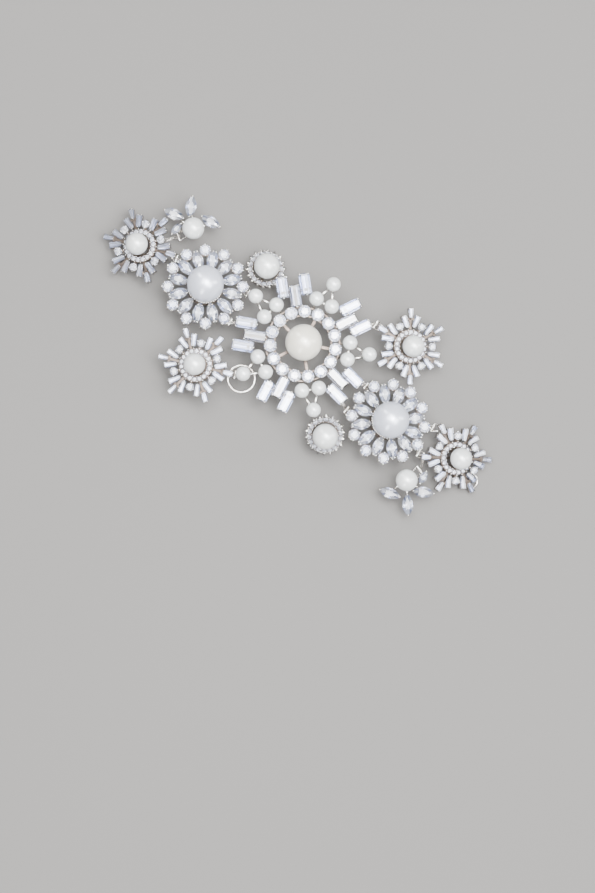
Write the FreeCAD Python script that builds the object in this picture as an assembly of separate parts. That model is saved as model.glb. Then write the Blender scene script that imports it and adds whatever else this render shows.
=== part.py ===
import FreeCAD, Part
import os
from math import atan2, cos, degrees, pi, radians, sin, sqrt, tan

# Jewelled hairpiece: eleven stone-set motifs tied edge to edge with wire.
# Long axis along X, jewelled face towards +Z, motifs first laid out round the medallion centre.

V = FreeCAD.Vector
UP = V(0, 0, 1)

# ---- whole piece (mm, degrees) ----
MEDALLION_X = 0.25           # where the medallion centre sits in the finished frame
MEDALLION_Y = 2.83
MEDALLION_Z = 9.01           # height of the medallion's back plane above the resting plane

# centre x, centre y, back-plane height, turn, lean direction, lean angle
MOTIFS = {
    "medallion": (0.0, 0.0, 0.0, 0.0, 0, 0),
    "left_daisy": (-30.9, -2.1, -0.4, 4.1, 120, 5.5),
    "right_daisy": (31.1, -4.6, -1.0, 26.1, 50, 8),
    "left_end_snowflake": (-52.25, -2.2, -3.5, 17.8, -150, 13),
    "left_side_snowflake": (-21.0, -21.15, -1.1, 19.8, -141, 6),
    "right_side_snowflake": (24.6, 16.35, -2.1, 3.8, 8, 11),
    "right_end_snowflake": (52.35, -1.9, -5.4, 32.1, 17, 18),
    "left_halo": (-20.15, 11.6, -2.9, 16.0, 92, 9),
    "right_halo": (18.8, -16.9, -1.9, 1.5, -60, 13),
    "left_blossom": (-42.5, 9.6, -2.6, 0.0, -150, 3),
    "right_blossom": (44.3, -14.45, -3.4, 0.0, -75, 8),
}

# ---- stones ----
GIRDLE = 0.15
ROUND_L = 3.5                # medallion ring stones
ROUND_M = 3.1                # daisy rounds
ROUND_S = 2.2                # snowflake rounds
PAVE = 1.25
HALO_STONE = 1.4
BAGUETTE_LENGTH = 6.0
BAGUETTE_WIDTH = 3.0
MARQUISE_LENGTH = 6.0
MARQUISE_WIDTH = 3.0
LEAFLET_LENGTH = 4.0
LEAFLET_WIDTH = 2.0

# ---- pearls ----
PEARL_L = 10.0
PEARL_HALO = 7.0
PEARL_M = 6.0
PEARL_S = 4.0
PEG = 0.8                    # peg that each half-drilled pearl is glued on
PEG_DEPTH = 1.4

# ---- medallion ----
RING_COUNT = 15
RING_RADIUS = 9.0
RING_PHASE = 0.9
GROUPS = 5
GROUP_PHASE = 60.9
BAG_MID = 13.4
BAG_SIDE = 16.2
BAG_PITCH = 3.2
TRIO_PHASE = 24.9
TRIO_NEAR = 12.7
TRIO_OUT = 18.4
TRIO_SIDE = 2.35

# ---- daisy ----
PETALS = 12
MARQUISE_RADIUS = 7.55
ROUND_RADIUS = 10.3

# ---- snowflake ----
ARMS = 6
PAVE_COUNT = 18
PAVE_RADIUS = 3.9
FLAKE_ROUND_RADIUS = 6.2
SIDE_LENGTH = 3.4
SIDE_WIDTH = 1.75
SIDE_NARROW = 1.1
SIDE_SPLAY = 22.0
SIDE_RADIUS = 6.75
SIDE_OFFSET = 1.45
TIP_LENGTH = 2.7
TIP_WIDTH = 1.55
TIP_NARROW = 1.0
TIP_RADIUS = 9.15

# ---- halo ----
HALO_COUNT = 18
HALO_RADIUS = 4.45

# ---- wire ----
BAR_WIRE = 0.5               # hinge bars
TIE_WIRE = 0.3               # binding-wire turns
TIE_GAP = 0.16               # free play round a hinge bar
BAR_HALF = 1.2               # middle of the bar to each of its legs
BAR_END = 1.45
FOOT_HALF = 0.75             # the legs come together towards the frame
LEG_WIRE = 0.46
TURN_HALF = 0.24
LOOP_WIRE = 0.6              # loops for hairpins


def at(radius, angle, z=0.0):
    return V(radius * cos(radians(angle)), radius * sin(radians(angle)), z)


def turned(shape, angle, where=V(0, 0, 0)):
    copy = shape.copy()
    copy.rotate(V(0, 0, 0), UP, angle)
    copy.translate(where)
    return copy


def fused(shapes):
    solid = shapes[0].multiFuse(shapes[1:])
    return solid.removeSplitter()


def solids(shape):
    return list(shape.Solids)


# ---- outlines: lists of (x, y) with the long side along X ----
def disc(diameter, count=16):
    return [(diameter / 2 * cos(2 * pi * k / count), diameter / 2 * sin(2 * pi * k / count))
            for k in range(count)]


def bar_outline(length, wide, narrow=None, bevel=0.16):
    narrow = wide if narrow is None else narrow
    h, a, b = length / 2, wide / 2, narrow / 2
    return [(h - bevel, a), (bevel - h, b), (-h, b - bevel), (-h, bevel - b),
            (bevel - h, -b), (h - bevel, -a), (h, bevel - a), (h, a - bevel)]


def lens(length, width, half_count=5):
    radius = (length ** 2 + width ** 2) / (4 * width)
    reach = degrees(2 * atan2(width, length))
    low = []
    for k in range(half_count):
        angle = radians(-reach + 2 * reach * k / half_count)
        low.append((radius * sin(angle), radius * cos(angle) - radius + width / 2))
    return low + [(-x, -y) for x, y in low]


def flat_face(points):
    return Part.Face(Part.makePolygon(points + [points[0]]))


def faceted(outline, levels):
    """Closed solid with flat sides through scaled copies (scale, z) of one outline."""
    rows = [[V(x * scale, y * scale, z) for x, y in outline] for scale, z in levels]
    faces = [flat_face(rows[0]), flat_face(rows[-1])]
    for low, high in zip(rows, rows[1:]):
        for i in range(len(low)):
            faces.append(flat_face([low[i - 1], low[i], high[i], high[i - 1]]))
    solid = Part.makeSolid(Part.makeShell(faces))
    if solid.Volume < 0:
        solid.reverse()
    return solid


def stone(outline, girdle_z, crown, pavilion, table=0.62):
    return faceted(outline, [(0.22, girdle_z - pavilion), (1.0, girdle_z), (1.0, girdle_z + GIRDLE),
                             (table, girdle_z + GIRDLE + crown)])


def prism(outline, scale, low, high):
    return faceted(outline, [(scale, low), (scale, high)])


def collet(outline, high, low=0.0):
    """Wall tucked just under the edge of a stone."""
    outer = prism(outline, 0.975, low, high)
    return outer.cut(prism(outline, 0.74, low - 1, high + 1))


def prong(x, y, high, thick=0.5, low=0.0):
    """Post with a wider head that grips the edge of a stone."""
    post = faceted(disc(thick, 8), [(1.0, low), (1.0, high - 0.35 * thick), (1.24, high),
                                    (0.7, high + 0.55 * thick)])
    post.translate(V(x, y, 0))
    return [post]


def point_prong(radius, angle, high, base=0.9, reach=0.8, low=0.0):
    pts = [(radius - 0.25, base / 2), (radius - 0.25, -base / 2), (radius + reach, 0.0)]
    plate = prism(pts, 1, low, high)
    return turned(plate, angle)


def rod(a, b, thick):
    """Straight wire or strut, drawn with eight flats."""
    out = faceted(disc(thick, 8), [(1.0, 0.0), (1.0, (b - a).Length)])
    out.Placement = FreeCAD.Placement(a, FreeCAD.Rotation(UP, b - a))
    return out


def pin(a, b, thick):
    return Part.makeCylinder(thick / 2, (b - a).Length, a, b - a)


def turn_ring(centre, axis):
    """One turn of binding wire round a hinge bar, with free play inside."""
    inner = BAR_WIRE / 2 + TIE_GAP
    start = centre - axis * (TIE_WIRE / 2)
    hole = Part.makeCylinder(inner, TIE_WIRE, start, axis)
    return Part.makeCylinder(inner + TIE_WIRE, TIE_WIRE, start, axis).cut(hole)


def annulus(inner, outer, low, high):
    ring = Part.makeCylinder(outer, high - low, V(0, 0, low))
    return ring.cut(Part.makeCylinder(inner, high - low + 2, V(0, 0, low - 1)))


def pearl(diameter, z, where=V(0, 0, 0)):
    ball = Part.makeSphere(diameter / 2, V(0, 0, z))
    drill = Part.makeCylinder(PEG / 2, diameter / 2 + PEG_DEPTH, V(0, 0, z - diameter))
    ball = ball.cut(drill)
    ball.translate(where)
    return ball


def peg_parts(diameter, z, where=V(0, 0, 0), dish=1.2, low=0.0):
    """Dished cup and peg; the pearl's own shape is cut away from the dish."""
    top = z - diameter / 2 + 0.35 * dish
    cup = Part.makeCone(0.55, dish, top - low, V(0, 0, low))
    cup = cup.cut(Part.makeSphere(diameter / 2, V(0, 0, z)))
    length = z - diameter / 2 + PEG_DEPTH - 0.1 - low
    post = Part.makeCylinder(PEG / 2, length, V(0, 0, low))
    return [turned(cup, 0, where), turned(post, 0, where)]


def bowl(diameter, z, rim, wall=0.3):
    """Open cup that follows the underside of a pearl up to a beaded rim."""
    r = diameter / 2
    shell = Part.makeSphere(r + wall, V(0, 0, z))
    keep = Part.makeCylinder(diameter, rim, V(0, 0, 0))
    shell = shell.common(keep).cut(Part.makeSphere(r + 0.02, V(0, 0, z)))
    rim_r = sqrt((r + wall / 2) ** 2 - (z - rim) ** 2)
    beads = Part.makeTorus(rim_r + 0.12, 0.26, V(0, 0, rim))
    beads = beads.cut(Part.makeSphere(r + 0.02, V(0, 0, z)))
    post = Part.makeCylinder(PEG / 2, z - r + PEG_DEPTH - 0.1, V(0, 0, 0))
    foot = Part.makeCone(0.9, 0.6, z - r, V(0, 0, 0))
    return fused([shell, beads, post, foot])


# ---- motif types, each in its own frame: back plane z = 0, face towards +Z ----
def medallion_stones():
    one = stone(disc(ROUND_L), 1.7, 0.5, 1.4)
    return [turned(one, RING_PHASE + 24 * k, at(RING_RADIUS, RING_PHASE + 24 * k))
            for k in range(RING_COUNT)]


def medallion_ring():
    parts = [annulus(7.5, 8.2, 0.0, 0.8), annulus(9.8, 10.6, 0.0, 0.8)]
    seat = collet(disc(ROUND_L), 1.25)
    for k in range(RING_COUNT):
        a = RING_PHASE + 24 * k
        parts.append(turned(seat, a, at(RING_RADIUS, a)))
        for r in (7.45, 10.55):
            for side in (-4.6, 4.6):
                p = at(r, a + side * 9.0 / r)
                parts += prong(p.x, p.y, 1.95, 0.42)
    return solids(fused(parts))


def group_places():
    places = []
    for k in range(GROUPS):
        a = GROUP_PHASE + 72 * k
        side = at(1, a + 90)
        places.append((a, at(BAG_MID, a), False))
        places.append((a, at(BAG_SIDE, a) + side * BAG_PITCH, True))
        places.append((a, at(BAG_SIDE, a) - side * BAG_PITCH, True))
    return places


def baguettes():
    one = stone(bar_outline(BAGUETTE_LENGTH, BAGUETTE_WIDTH), 1.65, 0.5, 1.2, 0.66)
    return [turned(one, a, p) for a, p, outer in group_places()]


def baguette_setting():
    outline = bar_outline(BAGUETTE_LENGTH, BAGUETTE_WIDTH)
    seat = collet(outline, 1.25)
    out = []
    for k in range(GROUPS):
        a = GROUP_PHASE + 72 * k
        parts = [turned(prism([(10.3, 0.5), (10.3, -0.5), (16.3, -0.5), (16.3, 0.5)], 1, 0, 0.7), a)]
        cross = [(14.3, 4.2), (14.3, -4.2), (15.1, -4.2), (15.1, 4.2)]
        parts.append(turned(prism(cross, 1, 0, 0.7), a))
        for s, centre, outer in ((0, BAG_MID, 0), (BAG_PITCH, BAG_SIDE, 1), (-BAG_PITCH, BAG_SIDE, 1)):
            parts.append(turned(seat, a, at(centre, a) + at(s, a + 90)))
            ends = [(2.95, 1.2), (2.95, -1.2), (-3.05, 0)]
            for x, y in ends:
                p = at(centre + x, a) + at(s + y, a + 90)
                parts += prong(p.x, p.y, 1.95, 0.5)
        out += solids(fused(parts))
    return out


def trio_places():
    places = []
    for k in range(GROUPS):
        a = TRIO_PHASE + 72 * k
        for along, side in ((TRIO_NEAR, TRIO_SIDE), (TRIO_NEAR, -TRIO_SIDE), (TRIO_OUT, 0)):
            places.append((k, at(along, a) + at(side, a + 90)))
    return places


def trio_pearls():
    return [pearl(PEARL_S, 2.45, p) for k, p in trio_places()]


def trio_mounts():
    out = []
    for k in range(GROUPS):
        a = TRIO_PHASE + 72 * k
        spots = [p for n, p in trio_places() if n == k]
        parts = []
        for p in spots:
            parts += peg_parts(PEARL_S, 2.45, p, 1.2)
        lift = V(0, 0, 0.4)
        for i, j in ((0, 1), (0, 2), (1, 2)):
            parts.append(rod(spots[i] + lift, spots[j] + lift, 0.75))
        for s in (TRIO_SIDE, -TRIO_SIDE):
            parts.append(rod(at(10.3, a) + at(s * 0.8, a + 90) + lift,
                             at(TRIO_NEAR, a) + at(s, a + 90) + lift, 0.75))
        out += solids(fused(parts))
    return out


def centre_cup():
    parts = peg_parts(PEARL_L, 5.4, V(0, 0, 0), 2.2)
    parts.append(Part.makeCylinder(1.6, 0.7, V(0, 0, 0)))
    for k in range(GROUPS):
        spoke = prism([(0.8, 0.45), (0.8, -0.45), (7.7, -0.45), (7.7, 0.45)], 1, 0.0, 0.7)
        parts.append(turned(spoke, TRIO_PHASE + 72 * k))
    return solids(fused(parts))


def daisy_marquises():
    one = stone(lens(MARQUISE_LENGTH, MARQUISE_WIDTH), 1.75, 0.5, 1.25)
    return [turned(one, 15 + 30 * k, at(MARQUISE_RADIUS, 15 + 30 * k)) for k in range(PETALS)]


def daisy_rounds():
    one = stone(disc(ROUND_M), 1.75, 0.5, 1.3)
    return [turned(one, 30 * k, at(ROUND_RADIUS, 30 * k)) for k in range(PETALS)]


def daisy_frame():
    parts = [annulus(4.2, 5.0, 0.0, 0.7), annulus(8.7, 9.4, 0.0, 0.7)]
    leaf_seat = collet(lens(MARQUISE_LENGTH, MARQUISE_WIDTH), 1.3)
    seat = collet(disc(ROUND_M), 1.3)
    for k in range(PETALS):
        a = 15 + 30 * k
        parts.append(turned(leaf_seat, a, at(MARQUISE_RADIUS, a)))
        for side in (-1, 1):
            p = at(10.25, a + side * 2.6)
            parts += prong(p.x, p.y, 2.0, 0.5)
            p = at(5.3, a + side * 6.0)
            parts += prong(p.x, p.y, 2.0, 0.4)
        b = 30 * k
        parts.append(turned(seat, b, at(ROUND_RADIUS, b)))
        parts.append(point_prong(11.85, b, 1.9, 0.9, 0.45))
        for r, side in ((8.65, 0), (11.35, 6.6), (11.35, -6.6)):
            p = at(r, b + side)
            parts += prong(p.x, p.y, 2.0, 0.42)
        parts.append(turned(prism([(0.5, 0.3), (0.5, -0.3), (9.0, -0.3), (9.0, 0.3)], 1, 0.0, 0.5), b)
                     if k % 3 == 0 else turned(prism([(4.5, 0.3), (4.5, -0.3), (9.0, -0.3), (9.0, 0.3)],
                                                     1, 0.0, 0.5), b))
    return solids(fused(parts))


def daisy_cup():
    return solids(bowl(PEARL_L, 5.35, 3.1))


def flake_pave():
    one = stone(disc(PAVE, 8), 1.6, 0.22, 0.55)
    return [turned(one, 20 * k, at(PAVE_RADIUS, 20 * k)) for k in range(PAVE_COUNT)]


def flake_rounds():
    one = stone(disc(ROUND_S, 12), 1.55, 0.4, 0.95)
    return [turned(one, 30 + 60 * k, at(FLAKE_ROUND_RADIUS, 30 + 60 * k)) for k in range(ARMS)]


def arm_places():
    side = bar_outline(SIDE_LENGTH, SIDE_WIDTH, SIDE_NARROW, 0.12)
    tip = bar_outline(TIP_LENGTH, TIP_WIDTH, TIP_NARROW, 0.12)
    places = [(side, SIDE_SPLAY, V(SIDE_RADIUS, SIDE_OFFSET, 0)),
              (side, -SIDE_SPLAY, V(SIDE_RADIUS, -SIDE_OFFSET, 0)),
              (tip, 0, V(TIP_RADIUS, 0, 0))]
    return places


def flake_baguettes():
    out = []
    for outline, twist, where in arm_places():
        one = turned(stone(outline, 1.55, 0.35, 0.85), twist, where)
        out += [turned(one, 60 * k) for k in range(ARMS)]
    return out


def flake_frame():
    parts = [annulus(2.6, 4.75, 0.0, 0.95)]
    for k in range(PAVE_COUNT):
        for r in (3.22, 4.62):
            p = at(r, 10 + 20 * k)
            parts += prong(p.x, p.y, 1.8, 0.3, 0.3)
    arm = []
    for outline, twist, where in arm_places():
        seat = prism(outline, 0.97, 0.0, 0.7)
        arm.append(turned(seat, twist, where))
        half = SIDE_LENGTH / 2 if twist else TIP_LENGTH / 2
        for s in (-0.42, 0.42):
            bead = prong(half, s, 1.8, 0.38)
            arm += [turned(b, twist, where) for b in bead]
        bead = prong(-half, 0, 1.8, 0.36)
        arm += [turned(b, twist, where) for b in bead]
    arm.append(prism([(4.4, 0.4), (4.4, -0.4), (8.4, -0.4), (8.4, 0.4)], 1, 0.0, 0.7))
    arm.append(prism([(7.2, 1.8), (7.2, -1.8), (7.9, -1.8), (7.9, 1.8)], 1, 0.0, 0.7))
    arm = fused(arm)
    seat = collet(disc(ROUND_S, 12), 1.15)
    for k in range(ARMS):
        parts.append(turned(arm, 60 * k))
        b = 30 + 60 * k
        parts.append(turned(seat, b, at(FLAKE_ROUND_RADIUS, b)))
        parts.append(turned(prism([(4.6, 0.4), (4.6, -0.4), (5.3, -0.4), (5.3, 0.4)], 1, 0.0, 0.8), b))
        parts.append(point_prong(7.25, b, 1.7, 0.7, 0.35))
        for r, side in ((5.1, 0), (6.7, 9.5), (6.7, -9.5)):
            p = at(r, b + side)
            parts += prong(p.x, p.y, 1.8, 0.36)
    for k in range(3):
        parts.append(turned(prism([(-3, 0.35), (-3, -0.35), (3, -0.35), (3, 0.35)], 1, 0.0, 0.6), 60 * k))
    parts += peg_parts(PEARL_M, 4.55, V(0, 0, 0), 1.7)
    return solids(fused(parts))


def halo_stones():
    one = stone(disc(HALO_STONE, 10), 1.5, 0.25, 0.6)
    return [turned(one, 20 * k, at(HALO_RADIUS, 20 * k)) for k in range(HALO_COUNT)]


def halo_frame():
    parts = [annulus(3.3, 5.0, 0.0, 0.85)]
    for k in range(HALO_COUNT):
        parts.append(point_prong(4.95, 20 * k, 1.75, 1.15, 0.8, 0.3))
        for r in (3.72, 4.95):
            p = at(r, 10 + 20 * k)
            parts += prong(p.x, p.y, 1.7, 0.3, 0.3)
    for k in range(2):
        parts.append(turned(prism([(-3.5, 0.4), (-3.5, -0.4), (3.5, -0.4), (3.5, 0.4)], 1, 0.0, 0.7), 90 * k))
    parts += peg_parts(PEARL_HALO, 4.5, V(0, 0, 0), 1.8)
    return solids(fused(parts))


# leaf length, leaf width, distance from pearl, direction from pearl, direction of the leaf
LEFT_LEAVES = [(6.0, 3.0, 7.0, 175.5, 190), (6.0, 3.0, 6.5, 131, 114), (6.0, 3.0, 5.2, 59, 3),
               (4.0, 2.0, 4.8, 211, 262)]
RIGHT_LEAVES = [(6.0, 3.0, 5.9, 254, 193), (6.0, 3.0, 7.0, -52.5, -53), (6.0, 3.0, 5.9, -2, 26),
                (4.0, 2.0, 4.7, 41.5, 97)]


def blossom_leaves(leaves):
    out = []
    for length, width, r, a, axis in leaves:
        out.append(turned(stone(lens(length, width), 1.7, 0.45, 1.1), axis, at(r, a)))
    return out


def blossom_frame(leaves):
    parts = [annulus(1.5, 2.3, 0.0, 0.7)]
    parts += peg_parts(PEARL_M, 4.2, V(0, 0, 0), 2.0)
    parts.append(Part.makeCylinder(1.7, 0.6))
    for length, width, r, a, axis in leaves:
        where = at(r, a)
        seat = collet(lens(length, width), 1.25)
        parts.append(turned(seat, axis, where))
        for x in (length / 2 + 0.05, -length / 2 - 0.05):
            parts += [turned(b, axis, where) for b in prong(x, 0, 1.95, 0.5)]
        start = at(1.9, a, 0.35)
        parts.append(rod(start, V(where.x, where.y, 0.35) - at(0.42 * width, a), 0.65))
    return solids(fused(parts))


# ---- placing the motifs ----
def placement(name):
    x, y, z, turn, lean_to, lean = MOTIFS[name]
    spin = FreeCAD.Rotation(UP, turn)
    tilt = FreeCAD.Rotation(V(-sin(radians(lean_to)), cos(radians(lean_to)), 0), lean)
    base = V(x + MEDALLION_X, y + MEDALLION_Y, z + MEDALLION_Z)
    return FreeCAD.Placement(base, tilt.multiply(spin))


def placed(items, name):
    out = []
    for item in items:
        copy = item.copy()
        copy.Placement = placement(name).multiply(copy.Placement)
        out.append(copy)
    return out


def plane_z(name, x, y, local=0.0):
    """Height of a motif's back plane over a point given from the medallion centre."""
    mx, my, mz, turn, lean_to, lean = MOTIFS[name]
    run = (x - mx) * cos(radians(lean_to)) + (y - my) * sin(radians(lean_to))
    return MEDALLION_Z + mz - tan(radians(lean)) * run + local / cos(radians(lean))


def spot(name, x, y, local=0.0):
    return V(x + MEDALLION_X, y + MEDALLION_Y, plane_z(name, x, y, local))


# parent, child, list of ties: (bar x, bar y, drop), parent foot (x, y), child foot (x, y)
TIES = {
    "left_daisy": ("medallion", [((-20.45, 3.4), 1.0, (-18.4, 3.5), (-21.9, 3.6)),
                                 ((-20.0, -5.9), 1.0, (-18.3, -5.2), (-21.5, -6.5))]),
    "right_daisy": ("medallion", [((20.75, 0.6), 1.0, (18.9, -0.6), (22.3, 1.0)),
                                  ((19.95, -8.0), 1.0, (17.9, -7.0), (21.6, -8.9))]),
    "left_halo": ("medallion", [((-14.13, 12.24), -0.9, (-14.3, 12.2), (-15.6, 12.08))]),
    "right_halo": ("medallion", [((13.5, -13.95), 0.35, (12.75, -13.6), (14.5, -14.6))]),
    "left_side_snowflake": ("medallion", [((-10.75, -17.2), 0.9, (-9.3, -16.3), (-12.2, -18.0))]),
    "right_side_snowflake": ("medallion", [((13.5, 16.0), 0.9, (11.9, 14.9), (15.2, 15.85))]),
    "left_end_snowflake": ("left_daisy", [((-42.05, 0.3), 0.9, (-39.7, -0.4), (-43.6, 0.6))]),
    "right_end_snowflake": ("right_daisy", [((43.1, -6.5), 0.9, (41.2, -5.8), (44.65, -6.7)),
                                            ((42.5, 1.6), 0.9, (40.6, 0.3), (44.25, 2.3))]),
    "left_blossom": ("left_end_snowflake", [((-45.2, 5.9), 0.6, (-47.3, 3.0), (-43.75, 8.05))]),
    "right_blossom": ("right_end_snowflake", [((45.9, -10.2), 0.6, (44.9, -6.5), (45.2, -12.5))]),
}


def tie_line(child):
    """Bar centres, hinge axis (positive folds the child's far edge down) and middle of one joint."""
    parent, ties = TIES[child]
    points = []
    for (x, y), drop, foot, reach in ties:
        low = min(plane_z(parent, x, y), plane_z(child, x, y))
        points.append(V(x + MEDALLION_X, y + MEDALLION_Y, low - drop))
    cx, cy = MOTIFS[child][0] + MEDALLION_X, MOTIFS[child][1] + MEDALLION_Y
    mid = points[0] if len(points) == 1 else (points[0] + points[1]) * 0.5
    outward = V(cx - mid.x, cy - mid.y, 0)
    if len(points) == 2:
        axis = (points[1] - points[0]).normalize()
        if axis.dot(UP.cross(outward)) < 0:
            axis = axis * -1
    else:
        axis = UP.cross(outward).normalize()
    return points, axis, mid


def hinge_bars(child):
    """Bars and their legs: these belong to the child's frame."""
    parent, ties = TIES[child]
    points, axis, mid = tie_line(child)
    out = []
    for point, (bar, drop, foot, reach) in zip(points, ties):
        out.append(pin(point - axis * BAR_END, point + axis * BAR_END, BAR_WIRE))
        end = spot(child, reach[0], reach[1], 0.35)
        for side in (-1, 1):
            out.append(rod(point + axis * side * BAR_HALF, end + axis * side * FOOT_HALF, LEG_WIRE))
    return out


def tie_turns(child):
    """Two wire turns round each bar, with a leg to the parent's frame."""
    parent, ties = TIES[child]
    points, axis, mid = tie_line(child)
    major = BAR_WIRE / 2 + TIE_GAP + TIE_WIRE / 2
    out = []
    for point, (bar, drop, foot, reach) in zip(points, ties):
        end = spot(parent, foot[0], foot[1], 0.35)
        way = end - point
        way = (way - axis * way.dot(axis)).normalize()
        parts = []
        for side in (-TURN_HALF, TURN_HALF):
            centre = point + axis * side
            parts.append(turn_ring(centre, axis))
            parts.append(rod(centre + way * major, end + axis * side * 0.4, LEG_WIRE * 0.6))
        parts.append(rod(end - way * 0.3, end + way * 0.3, TIE_WIRE * 2))
        out += solids(fused(parts))
    return out


def pin_loop(name, x, y, radius, local, feet):
    """Round wire loop lying behind a motif; short feet join it to the frame above."""
    mx, my, mz, turn, lean_to, lean = MOTIFS[name]
    tilt = FreeCAD.Rotation(V(-sin(radians(lean_to)), cos(radians(lean_to)), 0), lean)
    ring = Part.makeTorus(radius, LOOP_WIRE / 2, V(0, 0, 0), UP)
    ring.Placement = FreeCAD.Placement(spot(name, x, y, local), tilt)
    parts = [ring]
    for angle in feet:
        foot = at(radius, angle)
        parts.append(rod(spot(name, x + foot.x, y + foot.y, local),
                         spot(name, x + foot.x, y + foot.y, 0.4), LEG_WIRE))
    return solids(fused(parts))


# motif that carries the loop, centre x and y, radius, height of the wire's middle, feet directions
LOOPS = {
    "left_end_loop": ("left_end_snowflake", -57.0, -5.2, 1.95, -0.55, [22, 142]),
    "right_end_loop": ("right_end_snowflake", 59.75, -4.4, 1.95, -0.55, [100, 215]),
    "trio_loop": ("medallion", -8.7, -17.2, 3.7, -1.0, [89, 55]),
}


def build():
    nodes = {}
    nodes["medallion_ring"] = placed(medallion_ring(), "medallion")
    nodes["ring_stones"] = placed(medallion_stones(), "medallion")
    nodes["baguette_settings"] = placed(baguette_setting(), "medallion")
    nodes["baguette_stones"] = placed(baguettes(), "medallion")
    nodes["trio_mounts"] = placed(trio_mounts(), "medallion")
    nodes["trio_pearls"] = placed(trio_pearls(), "medallion")
    nodes["centre_cup"] = placed(centre_cup(), "medallion")
    nodes["centre_pearl"] = placed([pearl(PEARL_L, 5.4)], "medallion")

    daisy = daisy_frame()
    flake = flake_frame()
    halo = halo_frame()
    kinds = {
        "daisy": [("frame", daisy), ("cup", daisy_cup()), ("pearl", [pearl(PEARL_L, 5.35)]),
                  ("marquises", daisy_marquises()), ("rounds", daisy_rounds())],
        "snowflake": [("frame", flake), ("pave", flake_pave()), ("rounds", flake_rounds()),
                      ("baguettes", flake_baguettes()), ("pearl", [pearl(PEARL_M, 4.55)])],
        "halo": [("frame", halo), ("stones", halo_stones()), ("pearl", [pearl(PEARL_HALO, 4.5)])],
    }
    for name in MOTIFS:
        if name == "medallion":
            continue
        kind = name.split("_")[-1]
        if kind == "blossom":
            leaves = LEFT_LEAVES if name == "left_blossom" else RIGHT_LEAVES
            rows = [("frame", blossom_frame(leaves)), ("leaves", blossom_leaves(leaves)),
                    ("pearl", [pearl(PEARL_M, 4.2)])]
        else:
            rows = kinds[kind]
        for suffix, items in rows:
            out = placed(items, name)
            if suffix == "frame":
                out = solids(fused(out + hinge_bars(name)))
            nodes[name + "_" + suffix] = out

    for parent, title in (("medallion", "medallion_ties"), ("left_daisy", "left_daisy_ties"),
                          ("right_daisy", "right_daisy_ties"), ("left_end_snowflake", "left_end_ties"),
                          ("right_end_snowflake", "right_end_ties")):
        nodes[title] = []
        for child in TIES:
            if TIES[child][0] == parent:
                nodes[title] += tie_turns(child)
    for title, (name, x, y, radius, local, feet) in LOOPS.items():
        nodes[title] = pin_loop(name, x, y, radius, local, feet)
    return nodes


def main():
    os.makedirs("parts", exist_ok=True)
    for name, items in build().items():
        shape = items[0] if len(items) == 1 else Part.makeCompound(items)
        shape.exportStep("parts/" + name + ".step")
        box = shape.BoundBox
        print(name, len(items), shape.isValid(), round(shape.Volume, 2),
              [round(v, 2) for v in (box.XMin, box.XMax, box.YMin, box.YMax, box.ZMin, box.ZMax)])


main()
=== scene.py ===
from math import asin, atan2, cos, degrees, pi, radians, sin, sqrt, tan

import bpy
from mathutils import Matrix, Vector

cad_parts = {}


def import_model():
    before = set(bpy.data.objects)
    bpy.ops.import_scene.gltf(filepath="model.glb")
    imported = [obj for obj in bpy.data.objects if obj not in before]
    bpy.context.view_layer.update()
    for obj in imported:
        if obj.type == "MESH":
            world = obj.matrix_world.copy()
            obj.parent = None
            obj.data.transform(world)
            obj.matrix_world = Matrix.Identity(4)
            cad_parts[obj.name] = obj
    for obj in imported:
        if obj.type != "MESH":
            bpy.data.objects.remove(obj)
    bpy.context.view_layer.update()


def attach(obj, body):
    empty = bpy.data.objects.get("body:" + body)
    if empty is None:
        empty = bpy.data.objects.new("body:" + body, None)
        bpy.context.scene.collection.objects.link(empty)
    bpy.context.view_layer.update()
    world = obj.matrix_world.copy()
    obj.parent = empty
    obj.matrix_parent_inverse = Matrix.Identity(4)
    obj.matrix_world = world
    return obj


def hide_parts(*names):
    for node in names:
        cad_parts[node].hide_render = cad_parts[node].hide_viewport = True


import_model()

MM = 0.001
UP = Vector((0, 0, 1))

# ---------------------------------------------------------------- layout, in mm, as in the CAD
MEDALLION = Vector((0.25, 2.83, 9.01))      # middle of the medallion's back
# place of each motif from the medallion (x, y, z), its turn, the way it leans and by how much
MOTIFS = {
    "medallion": (0.0, 0.0, 0.0, 0.0, 0, 0),
    "left_daisy": (-30.9, -2.1, -0.4, 4.1, 120, 5.5),
    "right_daisy": (31.1, -4.6, -1.0, 26.1, 50, 8),
    "left_end_snowflake": (-52.25, -2.2, -3.5, 17.8, -150, 13),
    "left_side_snowflake": (-21.0, -21.15, -1.1, 19.8, -141, 6),
    "right_side_snowflake": (24.6, 16.35, -2.1, 3.8, 8, 11),
    "right_end_snowflake": (52.35, -1.9, -5.4, 32.1, 17, 18),
    "left_halo": (-20.15, 11.6, -2.9, 16.0, 92, 9),
    "right_halo": (18.8, -16.9, -1.9, 1.5, -60, 13),
    "left_blossom": (-42.5, 9.6, -2.6, 0.0, -150, 3),
    "right_blossom": (44.3, -14.45, -3.4, 0.0, -75, 8),
}
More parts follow.
